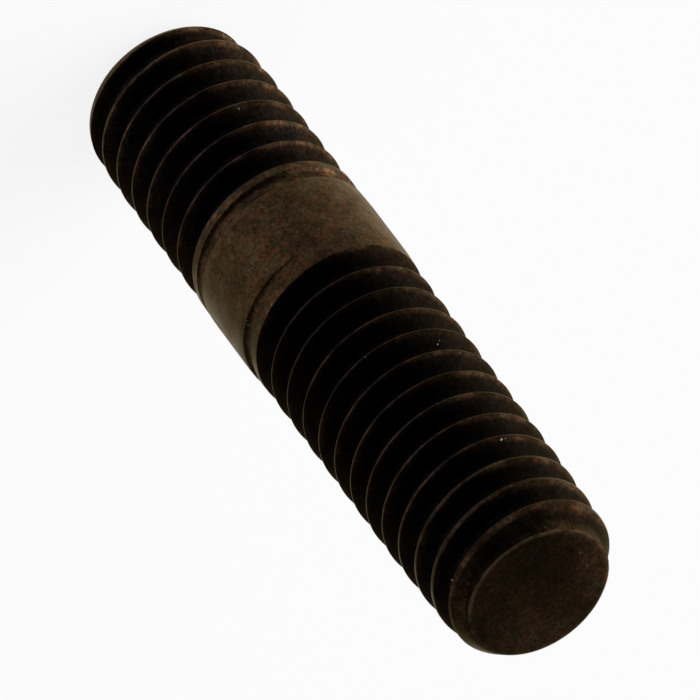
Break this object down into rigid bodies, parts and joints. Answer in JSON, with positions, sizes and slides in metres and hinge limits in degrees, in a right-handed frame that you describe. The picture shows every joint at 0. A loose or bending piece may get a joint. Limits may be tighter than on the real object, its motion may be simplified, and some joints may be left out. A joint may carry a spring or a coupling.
{
  "type": "double ended stud",
  "caption": "Steel stud with a short coarse thread at one end, a plain shank, and a long coarse thread at the other end, blackened all over.",
  "frame": {"origin": "centre of the tap end face, which the stud stands on", "axes": "+Z along the stud's axis, from the short tap thread to the long nut thread; X and Y are across it, and the tap and nut threads' grooves start at -Y"},
  "size_m": [0.0078, 0.0078, 0.0338],
  "materials": {
    "black_oxide_steel": "satin black oxide, worn to bare metal in specks on the crests"
  },
  "bodies": {
    "root": {"stud": "black_oxide_steel"}
  },
  "joints": []
}
